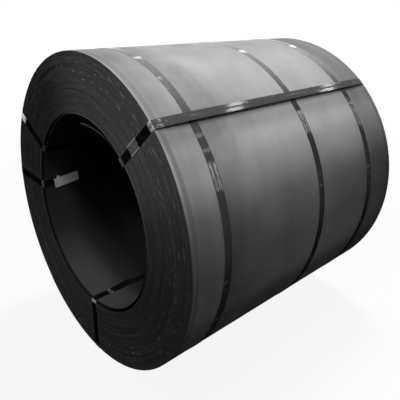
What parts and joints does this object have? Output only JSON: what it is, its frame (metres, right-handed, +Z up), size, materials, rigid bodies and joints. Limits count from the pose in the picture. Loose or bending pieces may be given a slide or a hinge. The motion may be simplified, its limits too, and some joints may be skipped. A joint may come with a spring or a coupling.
{
  "type": "coil of hot rolled steel sheet",
  "caption": "Coil of dark hot rolled steel sheet lying on its side, held by black girth straps and eye straps with crimped seals.",
  "frame": {"origin": "centre of the footprint on the floor, under the middle of the coil's width", "axes": "+X along the eye from the end face seen in the picture to the other, +Z up, +Y to the side away from the picture's view"},
  "size_m": [1.2046, 1.2423, 1.2422],
  "materials": {
    "mill_scale": "dark mill scale, semi-matt",
    "strap_paint": "gloss black",
    "seal_zinc": "zinc coated, satin",
    "tag": "plain pale coating, satin"
  },
  "bodies": {
    "root": {"coil": "mill_scale", "girth_strap_front": "strap_paint", "girth_seal_front": "seal_zinc", "girth_strap_middle": "strap_paint", "girth_seal_middle": "seal_zinc", "girth_strap_rear": "strap_paint", "girth_seal_rear": "seal_zinc", "eye_strap_upper_right": "strap_paint", "eye_seal_upper_right": "seal_zinc", "eye_strap_upper_left": "strap_paint", "eye_seal_upper_left": "seal_zinc", "eye_strap_left": "strap_paint", "eye_seal_left": "seal_zinc", "eye_strap_bottom": "strap_paint", "eye_tag": "tag"}
  },
  "joints": []
}
